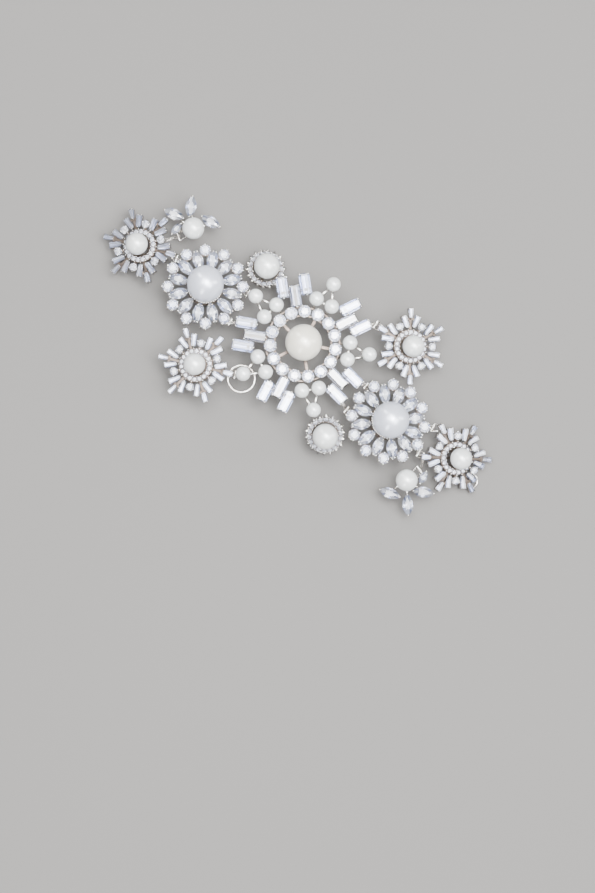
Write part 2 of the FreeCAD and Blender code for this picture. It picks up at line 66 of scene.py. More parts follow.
# child: parent, then for each hinge bar its (x, y), its drop under the lower back, the foot of the
# wire on the parent and the foot of the bar on the child
TIES = {
    "left_daisy": ("medallion", [((-20.45, 3.4), 1.0, (-18.4, 3.5), (-21.9, 3.6)),
                                 ((-20.0, -5.9), 1.0, (-18.3, -5.2), (-21.5, -6.5))]),
    "right_daisy": ("medallion", [((20.75, 0.6), 1.0, (18.9, -0.6), (22.3, 1.0)),
                                  ((19.95, -8.0), 1.0, (17.9, -7.0), (21.6, -8.9))]),
    "left_halo": ("medallion", [((-14.13, 12.24), -0.9, (-14.3, 12.2), (-15.6, 12.08))]),
    "right_halo": ("medallion", [((13.5, -13.95), 0.35, (12.75, -13.6), (14.5, -14.6))]),
    "left_side_snowflake": ("medallion", [((-10.75, -17.2), 0.9, (-9.3, -16.3), (-12.2, -18.0))]),
    "right_side_snowflake": ("medallion", [((13.5, 16.0), 0.9, (11.9, 14.9), (15.2, 15.85))]),
    "left_end_snowflake": ("left_daisy", [((-42.05, 0.3), 0.9, (-39.7, -0.4), (-43.6, 0.6))]),
    "right_end_snowflake": ("right_daisy", [((43.1, -6.5), 0.9, (41.2, -5.8), (44.65, -6.7)),
                                            ((42.5, 1.6), 0.9, (40.6, 0.3), (44.25, 2.3))]),
    "left_blossom": ("left_end_snowflake", [((-45.2, 5.9), 0.6, (-47.3, 3.0), (-43.75, 8.05))]),
    "right_blossom": ("right_end_snowflake", [((45.9, -10.2), 0.6, (44.9, -6.5), (45.2, -12.5))]),
}
# motif, x, y, radius, height over the motif's back, angles of the two soldered feet
LOOPS = {
    "left_end_loop": ("left_end_snowflake", -57.0, -5.2, 1.95, -0.55, [22, 142]),
    "right_end_loop": ("right_end_snowflake", 59.75, -4.4, 1.95, -0.55, [100, 215]),
    "trio_loop": ("medallion", -8.7, -17.2, 3.7, -1.0, [89, 55]),
}
# leaves of the blossoms: length, width, distance from the middle, angle, direction of the leaf
LEAVES = {
    "left_blossom": [(6.0, 3.0, 7.0, 175.5, 190), (6.0, 3.0, 6.5, 131, 114),
                     (6.0, 3.0, 5.2, 59, 3), (4.0, 2.0, 4.8, 211, 262)],
    "right_blossom": [(6.0, 3.0, 5.9, 254, 193), (6.0, 3.0, 7.0, -52.5, -53),
                      (6.0, 3.0, 5.9, -2, 26), (4.0, 2.0, 4.7, 41.5, 97)],
}
GIRDLE = 0.15           # height of a stone's upright edge
END_STEP = 0.45         # how far a step cut moves in at its ends, against its sides
BAR_HALF = 1.2          # half length of a hinge bar
ROUND_RING = 9.0        # radius of the medallion's ring of round stones
TRIO_START = 24.9       # angle of the first pearl trio, and of the first spoke
GROUP_START = 60.9      # angle of the first group of baguettes
FIFTH = 72              # angle between groups, trios and spokes
TRIO_PLACES = ((12.7, 2.35), (12.7, -2.35), (18.4, 0))      # along and across a trio's direction
GROUP_PLACES = ((13.4, 0.0), (16.2, 3.2), (16.2, -3.2))     # along and across a group's direction
TURN = 12               # points in one turn of binding wire
FOOT_LEVEL = 0.35       # height over a motif's back at which bars and wire meet its casting
STRUT_LIFT = Vector((0, 0, 0.4))
STRUT = 0.375           # radius of the bars between pearls


def at(radius, angle, z=0.0):
    return Vector((radius * cos(radians(angle)), radius * sin(radians(angle)), z))


def spun(angle, where=(0, 0, 0)):
    return Matrix.Translation(Vector(where)) @ Matrix.Rotation(radians(angle), 4, "Z")


def leaning(name):
    lean_to, lean = MOTIFS[name][4:]
    axis = Vector((-sin(radians(lean_to)), cos(radians(lean_to)), 0))
    return Matrix.Rotation(radians(lean), 4, axis)


def placement(name):
    x, y, z, turn = MOTIFS[name][:4]
    return Matrix.Translation(MEDALLION + Vector((x, y, z))) @ leaning(name) @ spun(turn)


def plane_z(name, x, y, local=0.0):
    """Height of a motif's leaning back, or of a level over it, at a point given from the medallion."""
    mx, my, mz, _, lean_to, lean = MOTIFS[name]
    run = (x - mx) * cos(radians(lean_to)) + (y - my) * sin(radians(lean_to))
    return MEDALLION.z + mz - tan(radians(lean)) * run + local / cos(radians(lean))


def spot(name, x, y, local=0.0):
    return Vector((x + MEDALLION.x, y + MEDALLION.y, plane_z(name, x, y, local)))


# ---------------------------------------------------------------- mesh building
class Build:
    """Collects faces in mm; slot numbers pick the material, smooth marks rounded faces."""

    def __init__(self):
        self.verts, self.faces, self.slots, self.smooth = [], [], [], []

    def add(self, shape, matrix=None, slot=0, smooth=False):
        verts, faces = shape
        base = len(self.verts)
        if matrix is None:
            self.verts += [Vector(v) for v in verts]
        else:
            self.verts += [matrix @ Vector(v) for v in verts]
        self.faces += [tuple(i + base for i in f) for f in faces]
        self.slots += [slot] * len(faces)
        self.smooth += [smooth] * len(faces)
        return self

    def merge(self, other, matrix):
        base = len(self.verts)
        self.verts += [matrix @ v for v in other.verts]
        self.faces += [tuple(i + base for i in f) for f in other.faces]
        self.slots += other.slots
        self.smooth += other.smooth
        return self

    def piece(self, name, materials, body, nodes, slot):
        mesh = bpy.data.meshes.new(name)
        mesh.from_pydata([v * MM for v in self.verts], [], self.faces)
        for m in materials:
            mesh.materials.append(m)
        mesh.polygons.foreach_set("material_index", self.slots)
        mesh.polygons.foreach_set("use_smooth", self.smooth)
        mesh.update()
        obj = bpy.data.objects.new(name, mesh)
        bpy.context.scene.collection.objects.link(obj)
        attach(obj, body)
        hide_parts(*nodes)


def strip(rings, caps=True):
    """Faces between rings of equal point count, with the two ends closed or left open."""
    n = len(rings[0])
    verts = [p for ring in rings for p in ring]
    faces = []
    for r in range(len(rings) - 1):
        for k in range(n):
            a, b = r * n + k, r * n + (k + 1) % n
            faces.append((a, b, b + n, a + n))
    if caps:
        faces.append(tuple(reversed(range(n))))
        faces.append(tuple(range((len(rings) - 1) * n, len(rings) * n)))
    return verts, faces


def ball(radius, centre=(0, 0, 0), sides=10, rows=6, squash=1.0):
    c = Vector(centre)
    rings = []
    for r in range(1, rows):
        t = pi * r / rows
        rings.append([c + Vector((radius * sin(t) * cos(2 * pi * k / sides),
                                  radius * sin(t) * sin(2 * pi * k / sides),
                                  -radius * cos(t) * squash)) for k in range(sides)])
    verts, faces = strip(rings, caps=False)
    n = len(verts)
    verts += [c + Vector((0, 0, -radius * squash)), c + Vector((0, 0, radius * squash))]
    last = (rows - 2) * sides
    for k in range(sides):
        faces.append((n, (k + 1) % sides, k))
        faces.append((n + 1, last + k, last + (k + 1) % sides))
    return verts, faces


def tube(points, radius, sides=8, closed=False, taper=None):
    """Round bar along the points; closed joins its ends, taper scales the radius at each point."""
    pts = [Vector(p) for p in points]
    count = len(pts)
    rings, side = [], None
    for i, p in enumerate(pts):
        if closed:
            way = (pts[(i + 1) % count] - pts[i - 1]).normalized()
        else:
            way = (pts[min(i + 1, count - 1)] - pts[max(i - 1, 0)]).normalized()
        if side is None:
            side = way.orthogonal().normalized()
        side = (side - way * side.dot(way)).normalized()
        other = way.cross(side)
        r = radius if taper is None else radius * taper[i]
        rings.append([p + side * (r * cos(2 * pi * k / sides)) + other * (r * sin(2 * pi * k / sides))
                      for k in range(sides)])
    if closed:
        verts = [q for ring in rings for q in ring]
        faces = []
        for r in range(count):
            for k in range(sides):
                a, b = r * sides + k, r * sides + (k + 1) % sides
                c, d = (r + 1) % count * sides + (k + 1) % sides, (r + 1) % count * sides + k
                faces.append((a, b, c, d))
        return verts, faces
    return strip(rings)


def smooth_path(points, per=6):
    """Catmull-Rom curve through the points."""
    pts = [Vector(p) for p in points]
    pts = [pts[0] * 2 - pts[1]] + pts + [pts[-1] * 2 - pts[-2]]
    out = []
    for i in range(1, len(pts) - 2):
        a, b, c, d = pts[i - 1:i + 3]
        for k in range(per):
            t = k / per
            out.append(0.5 * ((2 * b) + (c - a) * t + (2 * a - 5 * b + 4 * c - d) * t * t
                              + (3 * b - a - 3 * c + d) * t ** 3))
    return out + [pts[-2]]


def loop_at(outline, scale, z):
    return [Vector((x * scale, y * scale, z)) for x, y in outline]


def inset_loop(outline, inset, z):
    """Convex outline moved inwards by a distance."""
    n = len(outline)
    out = []
    for k in range(n):
        p, q, r = Vector(outline[k - 1]), Vector(outline[k]), Vector(outline[(k + 1) % n])
        a, b = (q - p).normalized(), (r - q).normalized()
        na, nb = Vector((-a.y, a.x)), Vector((-b.y, b.x))
        mid = (na + nb) / (1 + na.dot(nb))
        w = q + mid * inset
        out.append(Vector((w.x, w.y, z)))
    return out


def inset_outline(outline, inset):
    return [(p.x, p.y) for p in inset_loop(outline, inset, 0)]


def band(outline, inner, outer, low, high, soft=0.06):
    """Closed wall between two insets of an outline, with softened top and bottom edges."""
    ring = [(outer, low + soft), (outer, high - soft), (outer + soft, high), (inner - soft, high),
            (inner, high - soft), (inner, low + soft), (inner - soft, low), (outer + soft, low)]
    loops = [inset_loop(outline, i, z) for i, z in ring]
    loops.append(loops[0])
    return strip(loops, caps=False)


def plate(outline, low, high, soft=0.07):
    """Flat plate with softened edges."""
    loops = [inset_loop(outline, soft, low), inset_loop(outline, 0, low + soft),
             inset_loop(outline, 0, high - soft), inset_loop(outline, soft, high)]
    return strip(loops)


def ring_plate(inner, outer, low, high, sides=72, soft=0.08):
    """Flat ring with softened edges."""
    prof = [(inner + soft, low), (outer - soft, low), (outer, low + soft), (outer, high - soft),
            (outer - soft, high), (inner + soft, high), (inner, high - soft), (inner, low + soft)]
    return lathe(prof + [prof[0]], sides)


def lathe(profile, sides=48):
    rings = [[Vector((r * cos(2 * pi * k / sides), r * sin(2 * pi * k / sides), z))
              for k in range(sides)] for r, z in profile]
    return strip(rings, caps=False)


# ---------------------------------------------------------------- outlines
def disc(diameter, count=24):
    return [(diameter / 2 * cos(2 * pi * k / count), diameter / 2 * sin(2 * pi * k / count))
            for k in range(count)]


def bar_outline(length, wide, narrow, bevel=0.16):
    """Straight or tapered bar, wide end at +x, with cut corners."""
    h, a, b = length / 2, wide / 2, narrow / 2
    return [(h - bevel, a), (bevel - h, b), (-h, b - bevel), (-h, bevel - b),
            (bevel - h, -b), (h - bevel, -a), (h, bevel - a), (h, a - bevel)]


def lens(length, width, half_count=8):
    """Marquise: two arcs that meet in points on the x axis."""
    radius = (length ** 2 + width ** 2) / (4 * width)
    reach = degrees(2 * atan2(width, length))
    low = []
    for k in range(half_count):
        angle = radians(reach - 2 * reach * k / half_count)
        low.append((radius * sin(angle), radius * cos(angle) - radius + width / 2))
    return low + [(-x, -y) for x, y in low]


def box_outline(x0, x1, y0, y1):
    return [(x1, y1), (x0, y1), (x0, y0), (x1, y0)]


# ---------------------------------------------------------------- cut stones
def brilliant(outline, girdle_z, crown, pavilion, table=0.56):
    """Brilliant facets on a closed outline of 16 points: 8 mains, 8 halves between them."""
    top = girdle_z + GIRDLE
    low, high = loop_at(outline, 1.0, girdle_z), loop_at(outline, 1.0, top)
    flat = loop_at(outline, table, top + crown)[1::2]
    star = loop_at(outline, (1 + table) / 2 + 0.03, top + crown * 0.55)[0::2]
    deep = loop_at(outline, 0.24, girdle_z - pavilion * 0.78)[1::2]
    verts = low + high + flat + star + deep + [Vector((0, 0, girdle_z - pavilion))]
    L, H, T, M, D, C = 0, 16, 32, 40, 48, 56        # where each of these groups of points starts
    faces = [tuple(T + k for k in range(8))]
    for k in range(16):
        faces.append((L + k, L + (k + 1) % 16, H + (k + 1) % 16, H + k))
    for k in range(8):
        n = (k + 1) % 8
        p = (k - 1) % 8
        faces.append((M + n, T + n, T + k))
        faces.append((M + k, H + 2 * k, H + 2 * k + 1))
        faces.append((M + n, H + 2 * k + 1, H + 2 * n))
        faces.append((M + k, H + 2 * k + 1, T + k))
        faces.append((T + k, H + 2 * k + 1, M + n))
        faces.append((D + k, L + 2 * k + 1, L + 2 * k))
        faces.append((D + k, L + 2 * n, L + 2 * k + 1))
        faces.append((C, D + k, L + 2 * k, D + p))
    return verts, faces


def step_cut(length, wide, narrow, girdle_z, crown, pavilion, corner=0.1):
    """Step-cut facets on a straight or tapered bar with small cut corners."""
    top = girdle_z + GIRDLE
    # inset as a share of the half width, height, size of the cut corners
    steps = [(0.94, girdle_z - pavilion, 0.1), (0.66, girdle_z - pavilion * 0.78, 0.4),
             (0.34, girdle_z - pavilion * 0.42, 0.7), (0.0, girdle_z, 1.0), (0.0, top, 1.0),
             (0.20, top + crown * 0.6, 0.85), (0.40, top + crown, 0.7)]
    loops = []
    for inset, z, cut in steps:
        d = inset * narrow / 2
        outline = bar_outline(length - 2 * d * END_STEP, wide - 2 * d, narrow - 2 * d, corner * cut)
        loops.append([Vector((x, y, z)) for x, y in outline])
    return strip(loops)


# painted shade of each facet under the girdle: foil copy 0 bright to 2 dark, repeated round the stone
ROUND_PAINTED_SHADES = (0, 1, 0, 0, 0, 0, 1, 0, 0, 0, 1, 0, 0, 2, 0, 0, 0, 0)
BAR_PAINTED_SHADES = (1, 1, 1, 1, 2, 1, 1, 1, 1, 0, 1, 0, 0, 0, 1) + (0,) * 9
TAPER_PAINTED_SHADES = (1,) + (0,) * 23


def set_stone(build, shape, girdle_z, matrix, clear=0, painted_shades=ROUND_PAINTED_SHADES, start=0):
    """Crown faces take slot clear, 0 or 1; facets under the girdle take the foils, slots 2 to 4, whose mid
    and dark copies paint shade on the facets.
    """
    verts, faces = shape
    base = len(build.verts)
    build.verts += [matrix @ v for v in verts]
    count = start
    for f in faces:
        back = min(verts[i].z for i in f) < girdle_z - 0.01
        build.faces.append(tuple(i + base for i in f))
        build.slots.append(2 + painted_shades[count % len(painted_shades)] if back else clear)
        build.smooth.append(False)
        count += back


# ---------------------------------------------------------------- metal details
def claw(build, foot, high, thick, lean, matrix=None):
    """Tapered post with a rounded bead that folds over the stone's edge by the vector lean."""
    top = foot + Vector((0, 0, high))
    path = [foot, foot.lerp(top, 0.6), top - Vector((0, 0, 0.12)) + lean * 0.35, top + lean]
    build.add(tube(path, thick * 0.46, 8, taper=[1.15, 1.0, 0.98, 0.8]), matrix, 0, True)
    bead = top + lean * 0.8 - Vector((0, 0, 0.02))
    build.add(ball(thick * 0.56, bead, 10, 6, 0.85), matrix, 0, True)


def claw_to(build, foot, middle, fold, high, thick, matrix=None):
    """Claw that folds towards the middle of its stone."""
    claw(build, foot, high, thick, (middle - foot).normalized() * fold, matrix)


def bead_post(build, foot, low, high, bead):
    """Thin upright wire with a bead, between two small stones."""
    rise = Vector((0, 0, 1))
    build.add(tube([foot + rise * low, foot + rise * high], 0.15, 6), None, 0, True)
    build.add(ball(bead, foot + rise * (high + 0.02), 8, 5), None, 0, True)


def point_claw(build, radius, angle, high, base, reach, low=0.0):
    """Pointed outward prong, ridged along its middle."""
    r0, r1, h = radius - 0.25, radius + reach, base / 2
    verts = [(r0, h, low), (r0, -h, low), (r1, 0, low), (r0, h, high - 0.18), (r0, -h, high - 0.18),
             (r1, 0, high - 0.2), (r0, 0, high - 0.04), (r0 + (r1 - r0) * 0.55, 0, high - 0.06)]
    faces = [(0, 2, 1), (0, 1, 4, 6, 3), (1, 2, 5, 4), (2, 0, 3, 5),
             (3, 6, 7), (6, 4, 7), (5, 3, 7), (4, 5, 7)]
    build.add((verts, faces), spun(angle))


def pearl_shape(diameter, z):
    """Half-drilled pearl: a ball with a worn-edged drill hole where the peg goes in."""
    r = diameter / 2
    prof = [(0.38, z - r + 1.2), (0.40, z - r + 0.15), (0.46, z - sqrt(r * r - 0.46 ** 2) + 0.02)]
    start = asin(0.56 / r)
    rows = 40
    for k in range(rows + 1):
        t = start + (pi - start) * k / rows
        prof.append((max(r * sin(t), 0.0005), z - r * cos(t)))
    return lathe(prof, 64)


def peg_cup(build, diameter, z, dish, matrix=None):
    """Dished cup of radius dish on a small foot, with the peg that goes into the pearl."""
    r = diameter / 2
    top = z - r + 0.35 * dish
    prof = [(0.5, 0.0), (0.62, 0.06), (0.6, 0.2), (0.62 + (dish - 0.62) * 0.55, top * 0.72),
            (dish, top), (dish + 0.03, top + 0.06), (dish - 0.08, top + 0.07),
            (0.9, z - sqrt(r * r - 0.81) - 0.04), (0.4, z - r - 0.04), (0.4, z - r + 1.2)]
    build.add(lathe(prof, 32), matrix, 0, True)
    build.add(lathe([(0.0005, 0.0), (0.5, 0.0)], 16), matrix)


# ---------------------------------------------------------------- materials
def new_material(name):
    mat = bpy.data.materials.new(name)
    mat.use_nodes = True
    nodes, links = mat.node_tree.nodes, mat.node_tree.links
    nodes.clear()
    out = nodes.new("ShaderNodeOutputMaterial")
    shader = nodes.new("ShaderNodeBsdfPrincipled")
    links.new(shader.outputs[0], out.inputs[0])
    return mat, nodes, links, shader


def noise(nodes, links, scale, detail):
    where = nodes.new("ShaderNodeTexCoord")
    tex = nodes.new("ShaderNodeTexNoise")
    tex.inputs["Scale"].default_value = scale
    tex.inputs["Detail"].default_value = detail
    links.new(where.outputs["Object"], tex.inputs["Vector"])
    return tex.outputs["Fac"]


def grey(tone):
    return (tone, tone, tone, 1)


def ramp(nodes, links, source, stops):
    """Colour ramp from a list of (position, colour)."""
    node = nodes.new("ShaderNodeValToRGB")
    node.color_ramp.elements[0].position = stops[0][0]
    node.color_ramp.elements[0].color = stops[0][1]
    node.color_ramp.elements[1].position = stops[-1][0]
    node.color_ramp.elements[1].color = stops[-1][1]
    for place, colour in stops[1:-1]:
        node.color_ramp.elements.new(place).color = colour
    links.new(source, node.inputs[0])
    return node.outputs[0]


def bump(nodes, links, source, shader, strength, distance):
    node = nodes.new("ShaderNodeBump")
    node.inputs["Strength"].default_value = strength
    node.inputs["Distance"].default_value = distance
    links.new(source, node.inputs["Height"])
    links.new(node.outputs[0], shader.inputs["Normal"])


def metal_material(name, light, dark, rough, metallic=1.0):
    """Plated casting: bright with slightly warm, duller patches and fine polishing ripple."""
    mat, nodes, links, shader = new_material(name)
    shader.inputs["Metallic"].default_value = metallic
    patch = noise(nodes, links, 420.0, 4.0)
    links.new(ramp(nodes, links, patch, [(0.30, dark), (0.62, light)]), shader.inputs["Base Color"])
    fine = noise(nodes, links, 1600.0, 3.0)
    links.new(ramp(nodes, links, fine, [(0.3, grey(rough[0])), (0.75, grey(rough[1]))]),
              shader.inputs["Roughness"])
    bump(nodes, links, fine, shader, 0.12, 0.0001)
    return mat


def crystal_material(name, tint, ior):
    """Clear cut stone: hard facets, faint cool tint, traces of polish."""
    mat, nodes, links, shader = new_material(name)
    shader.inputs["Base Color"].default_value = tint
    shader.inputs["Transmission Weight"].default_value = 1.0
    shader.inputs["IOR"].default_value = ior
    fine = noise(nodes, links, 900.0, 2.0)
    links.new(ramp(nodes, links, fine, [(0.35, grey(0.0)), (0.8, grey(0.03))]),
              shader.inputs["Roughness"])
    return mat


def pearl_material(name, light, shade, lustre, scale):
    """Nacre: soft body colour with cloudy drift and a clear lustre coat."""
    mat, nodes, links, shader = new_material(name)
    cloud = noise(nodes, links, scale, 3.0)
    links.new(ramp(nodes, links, cloud, [(0.32, shade), (0.66, light)]), shader.inputs["Base Color"])
    shader.inputs["Metallic"].default_value = lustre
    shader.inputs["Subsurface Weight"].default_value = 0.1
    shader.inputs["Subsurface Radius"].default_value = (1.0, 0.9, 0.8)
    shader.inputs["Subsurface Scale"].default_value = 0.0012
    shader.inputs["Coat Weight"].default_value = 0.9
    shader.inputs["Coat Roughness"].default_value = 0.22
    shader.inputs["Coat IOR"].default_value = 1.65
    fine = noise(nodes, links, scale * 6, 4.0)
    links.new(ramp(nodes, links, fine, [(0.3, grey(0.28)), (0.8, grey(0.34))]),
              shader.inputs["Roughness"])
    bump(nodes, links, fine, shader, 0.02, 0.00005)
    return mat


RHODIUM = metal_material("rhodium_plate", (0.90, 0.885, 0.865, 1), (0.66, 0.62, 0.57, 1), (0.10, 0.26))
WIRE = metal_material("soft_wire", (0.86, 0.84, 0.81, 1), (0.55, 0.50, 0.45, 1), (0.18, 0.38))
# painted shade: near-black brown plates under and between the settings, standing for the shade deep
# between the stones
PAINTED_SHADE_PLATE = metal_material("painted_shade_recess", (0.13, 0.105, 0.09, 1), (0.07, 0.056, 0.046, 1), (0.28, 0.48))
CRYSTAL = crystal_material("clear_crystal", (0.97, 0.98, 1.0, 1), 2.1)
COOL = crystal_material("cool_crystal", (0.86, 0.90, 0.99, 1), 2.0)
# painted shade: the mid lilac and dark slate foils are shaded copies of the bright foil, painting darker
# facet reflections
FOIL = metal_material("foil_bright", (0.98, 0.98, 1.0, 1), (0.92, 0.93, 0.98, 1), (0.10, 0.24), 0.5)
FOIL_PAINTED_MID_SHADE = metal_material("foil_painted_lilac_shade", (0.66, 0.70, 0.90, 1), (0.54, 0.58, 0.80, 1), (0.06, 0.16), 0.6)
FOIL_PAINTED_DARK_SHADE = metal_material("foil_painted_slate_shade", (0.34, 0.38, 0.54, 1), (0.24, 0.28, 0.42, 1), (0.04, 0.12), 0.7)
CLEAR_SET = [CRYSTAL, CRYSTAL, FOIL, FOIL_PAINTED_MID_SHADE, FOIL_PAINTED_DARK_SHADE]
MIXED_SET = [CRYSTAL, COOL, FOIL, FOIL_PAINTED_MID_SHADE, FOIL_PAINTED_DARK_SHADE]
# slot 1 of the castings is the painted shade on their low plates
CASTING = [RHODIUM, PAINTED_SHADE_PLATE]
CREAM = pearl_material("cream_nacre", (0.91, 0.87, 0.75, 1), (0.88, 0.84, 0.72, 1), 0.10, 160.0)
SILVER = pearl_material("silver_nacre", (0.76, 0.79, 0.89, 1), (0.72, 0.75, 0.85, 1), 0.30, 160.0)
WHITE = pearl_material("white_nacre", (0.84, 0.86, 0.85, 1), (0.80, 0.82, 0.81, 1), 0.12, 260.0)


# ---------------------------------------------------------------- medallion
HERE = placement("medallion")


def round_ring():
    ring, stones = Build(), Build()
    ring.add(ring_plate(7.6, 8.1, 0.0, 0.6), HERE, 1)
    ring.add(ring_plate(9.9, 10.4, 0.0, 0.6), HERE, 1)
    for k in range(15):
        a = 0.9 + 24 * k
        middle = at(ROUND_RING, a)
        m = HERE @ spun(a, middle)
        ring.add(band(disc(3.5, 28), 0.42, 0.04, 0.0, 1.25), m)
        set_stone(stones, brilliant(disc(3.46, 16), 1.7, 0.5, 1.4), 1.7, m @ spun(7 * k), start=k)
        for r in (7.45, 10.55):
            for side in (-4.6, 4.6):
                claw_to(ring, at(r, a + side * ROUND_RING / r), middle, 0.16, 2.0, 0.42, HERE)
    ring.piece("medallion_ring_casting", CASTING, "medallion", ("medallion_ring",), "rhodium")
    stones.piece("medallion_round_stones", CLEAR_SET, "medallion", ("ring_stones",), "crystal")


def baguettes():
    settings, stones = Build(), Build()
    outline = bar_outline(6.0, 3.0, 3.0)
    claws = ((2.95, 1.2, (-0.18, -0.06, 0)), (2.95, -1.2, (-0.18, 0.06, 0)), (-3.15, 0, (0.2, 0, 0)))
    for k in range(5):
        a = GROUP_START + FIFTH * k
        for n, (along, side) in enumerate(GROUP_PLACES):
            m = HERE @ spun(a, at(along, a) + at(side, a + 90))
            settings.add(band(outline, 0.36, 0.04, 0.0, 1.25), m)
            cut = step_cut(5.98, 2.98, 2.98, 1.65, 0.5, 1.2, 0.22)
            set_stone(stones, cut, 1.65, m, (k + n) % 2, BAR_PAINTED_SHADES)
            for x, y, lean in claws:
                claw(settings, Vector((x, y, 0)), 1.98, 0.52, Vector(lean), m)
        settings.add(plate(box_outline(10.3, 16.3, -0.5, 0.5), 0, 0.7), HERE @ spun(a), 1)
        settings.add(plate(box_outline(14.3, 15.1, -4.2, 4.2), 0, 0.7), HERE @ spun(a), 1)
    settings.piece("baguette_castings", CASTING, "medallion", ("baguette_settings",), "rhodium")
    stones.piece("baguette_cut_stones", MIXED_SET, "medallion", ("baguette_stones",), "crystal")


def trios():
    mounts, pearls = Build(), Build()
    small = pearl_shape(4.0, 2.45)
    for k in range(5):
        a = TRIO_START + FIFTH * k
        spots = [at(along, a) + at(side, a + 90) for along, side in TRIO_PLACES]
        for i, p in enumerate(spots):
            peg_cup(mounts, 4.0, 2.45, 1.2, HERE @ Matrix.Translation(p))
            pearls.add(small, HERE @ spun(50 * i + 31 * k, p), 0, True)
        bars = [(spots[0], spots[1]), (spots[0], spots[2]), (spots[1], spots[2])]
        for p, (_, side) in zip(spots[:2], TRIO_PLACES):
            bars.append((p, at(10.3, a) + at(side * 0.8, a + 90)))
        for p, q in bars:
            mounts.add(tube([p + STRUT_LIFT, q + STRUT_LIFT], STRUT, 12), HERE, 0, True)
    mounts.piece("trio_pearl_mounts", [RHODIUM], "medallion", ("trio_mounts",), "rhodium")
    pearls.piece("trio_small_pearls", [WHITE], "medallion", ("trio_pearls",), "white_pearl")


def centre():
    cup = Build()
    peg_cup(cup, 10.0, 5.4, 2.2, HERE)
    cup.add(ring_plate(0.3, 1.6, 0.0, 0.7, 32), HERE, 1)
    spoke = plate(box_outline(0.8, 7.7, -0.45, 0.45), 0, 0.7)
    for k in range(5):
        cup.add(spoke, HERE @ spun(TRIO_START + FIFTH * k), 1)
    cup.piece("spoked_pearl_cup", CASTING, "medallion", ("centre_cup",), "rhodium")
    pearl = Build().add(pearl_shape(10.0, 5.4), HERE, 0, True)
    pearl.piece("large_cream_pearl", [CREAM], "medallion", ("centre_pearl",), "cream_pearl")


# ---------------------------------------------------------------- motif types, in their own frames
# each gives rows of: mesh, end of the piece's name, materials, end of the node's name, slot
def daisy_cup():
    """Bowl round the lower part of the pearl, with a ring of beads on its rim."""
    r, z, rim = 5.0, 5.35, 3.1
    prof = [(0.0005, 0.0), (0.9, 0.0), (0.62, 0.3)]
    for k in range(9):
        h = 0.06 + (rim - 0.06) * k / 8
        prof.append((sqrt((r + 0.3) ** 2 - (z - h) ** 2), h))
    for k in range(9):
        h = rim - (rim - 0.4) * k / 8
        prof.append((sqrt((r + 0.03) ** 2 - (z - h) ** 2), h))
    prof += [(0.4, 0.4), (0.4, z - r + 1.2)]
    cup = Build().add(lathe(prof, 64), None, 0, True)
    bead_ring = sqrt((r + 0.15) ** 2 - (z - rim) ** 2) + 0.16
    for k in range(44):
        cup.add(ball(0.3, at(bead_ring, 360 * k / 44, rim), 10, 6), None, 0, True)
    return cup


def daisy_parts():
    metal, leaves, rounds = Build(), Build(), Build()
    metal.add(ring_plate(4.2, 5.0, 0.0, 0.7), slot=1)
    metal.add(ring_plate(8.7, 9.4, 0.0, 0.7), slot=1)
    for k in range(12):
        a, b = 15 + 30 * k, 30 * k
        m = spun(a, at(7.55, a))
        metal.add(band(lens(6.0, 3.0), 0.30, 0.04, 0.0, 1.3), m)
        leaf = brilliant(lens(5.96, 2.96), 1.75, 0.5, 1.25, 0.5)
        set_stone(leaves, leaf, 1.75, m, k % 2, start=k)
        for side in (-1, 1):
            claw_to(metal, at(10.25, a + side * 2.6), at(9.4, a), 0.16, 2.05, 0.5)
            claw_to(metal, at(5.3, a + side * 6.0), at(6.4, a), 0.12, 2.0, 0.4)
        middle = at(10.3, b)
        m = spun(b, middle)
        metal.add(band(disc(3.1, 28), 0.38, 0.04, 0.0, 1.3), m)
        stone = brilliant(disc(3.06, 16), 1.75, 0.5, 1.3)
        set_stone(rounds, stone, 1.75, m @ spun(9 * k), start=k)
        claw_to(metal, at(11.98, b), middle, 0.14, 1.95, 0.5)
        for r, turn in ((8.65, 0), (11.35, 6.6), (11.35, -6.6)):
            claw_to(metal, at(r, b + turn), middle, 0.15, 2.05, 0.42)
        if k % 3 == 0:
            metal.add(plate(box_outline(0.5, 4.6, -0.3, 0.3), 0, 0.5), spun(b), 1)
    pearl = Build().add(pearl_shape(10.0, 5.35), None, 0, True)
    return [(daisy_cup(), "beaded_cup", [RHODIUM], "cup", "rhodium"),
            (leaves, "leaf_stones", MIXED_SET, "marquises", "crystal"),
            (rounds, "round_stones", CLEAR_SET, "rounds", "crystal"),
            (metal, "casting", CASTING, "frame", "rhodium"),
            (pearl, "nacre_pearl", [SILVER], "pearl", "silver_pearl")]


def tapered_bar(metal, stones, size, matrix, clear):
    """Tapered stone in its collet on a low plate, under three claws; size as for bar_outline."""
    outline, end = bar_outline(*size, 0.12), size[0] / 2
    metal.add(plate(inset_outline(outline, 0.04), 0.0, 0.75), matrix, 1)
    metal.add(band(outline, 0.2, 0.03, 0.7, 1.2, 0.03), matrix)
    set_stone(stones, step_cut(*size, 1.5, 0.32, 0.45), 1.5, matrix, clear, TAPER_PAINTED_SHADES)
    for x, y, thick, fold in ((end, -0.42, 0.38, -0.1), (end, 0.42, 0.38, -0.1), (-end, 0, 0.36, 0.1)):
        claw(metal, Vector((x, y, 0)), 1.8, thick, Vector((fold, 0, 0)), matrix)


